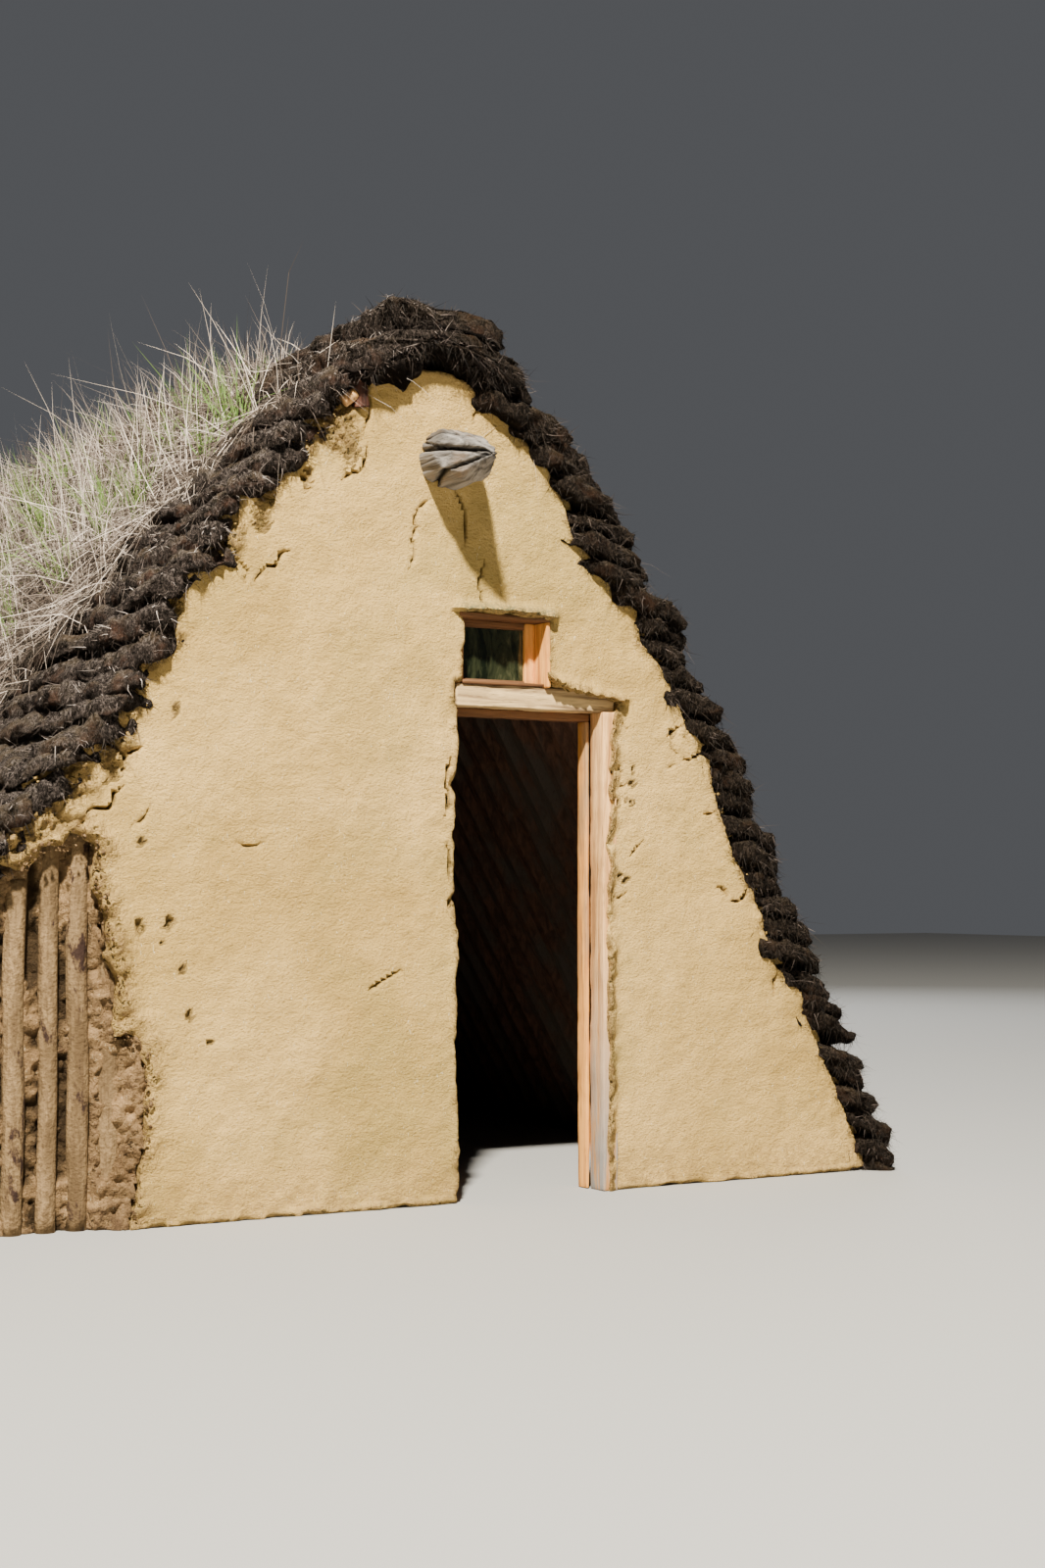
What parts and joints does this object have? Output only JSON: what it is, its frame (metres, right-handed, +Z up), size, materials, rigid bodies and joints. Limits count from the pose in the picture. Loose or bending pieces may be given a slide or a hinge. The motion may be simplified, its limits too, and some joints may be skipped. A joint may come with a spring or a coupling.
{
  "type": "turf house",
  "caption": "Steep A-shaped turf house with turf courses over a pole roof, clay-daubed pole gables, a plank doorway, a small window and a hewn ridge beam.",
  "frame": {"origin": "on the ground at the middle of the house's footprint", "axes": "+Y along the ridge from the door wall to the back wall, +X to the right of someone facing the door, +Z up"},
  "size_m": [4.2436, 5.68, 3.1],
  "materials": {
    "turf": "matted dark brown roots and peat, rough",
    "clay_daub": "hand-wiped tan clay with straw, matt",
    "bark_pole": "round poles with part of their bark, matt",
    "weathered_log": "hewn, grey and cracked",
    "sawn_plank": "rough sawn, orange-brown with greyed faces",
    "window_glass": "plain old window glass"
  },
  "bodies": {
    "root": {"left_slope_turf_1": "turf", "left_slope_turf_2": "turf", "left_slope_turf_3": "turf", "left_slope_turf_4": "turf", "right_slope_turf_1": "turf", "right_slope_turf_2": "turf", "right_slope_turf_3": "turf", "right_slope_turf_4": "turf", "front_left_verge_lower": "turf", "front_left_verge_upper": "turf", "front_right_verge_lower": "turf", "front_right_verge_upper": "turf", "back_left_verge_lower": "turf", "back_left_verge_upper": "turf", "back_right_verge_lower": "turf", "back_right_verge_upper": "turf", "ridge_turf_lower": "turf", "ridge_turf_upper": "turf", "ridge_turf_rear": "turf", "ridge_beam": "weathered_log", "front_ridge_post": "bark_pole", "back_ridge_post": "bark_pole", "left_rafters_front": "bark_pole", "left_rafters_rear": "bark_pole", "right_rafters_front": "bark_pole", "right_rafters_rear": "bark_pole", "front_poles_left": "bark_pole", "front_poles_right": "bark_pole", "front_poles_over_door": "bark_pole", "back_poles": "bark_pole", "front_daub_left": "clay_daub", "front_daub_right": "clay_daub", "front_daub_beside_window": "clay_daub", "front_daub_top": "clay_daub", "back_daub": "clay_daub", "door_lintel": "sawn_plank", "door_left_jamb": "sawn_plank", "door_right_jamb": "sawn_plank", "door_head_stop": "sawn_plank", "door_side_stops": "sawn_plank", "window_head": "sawn_plank", "window_side_boards": "sawn_plank", "window_sill": "sawn_plank", "window_sash": "sawn_plank", "window_pane": "window_glass"}
  },
  "joints": []
}
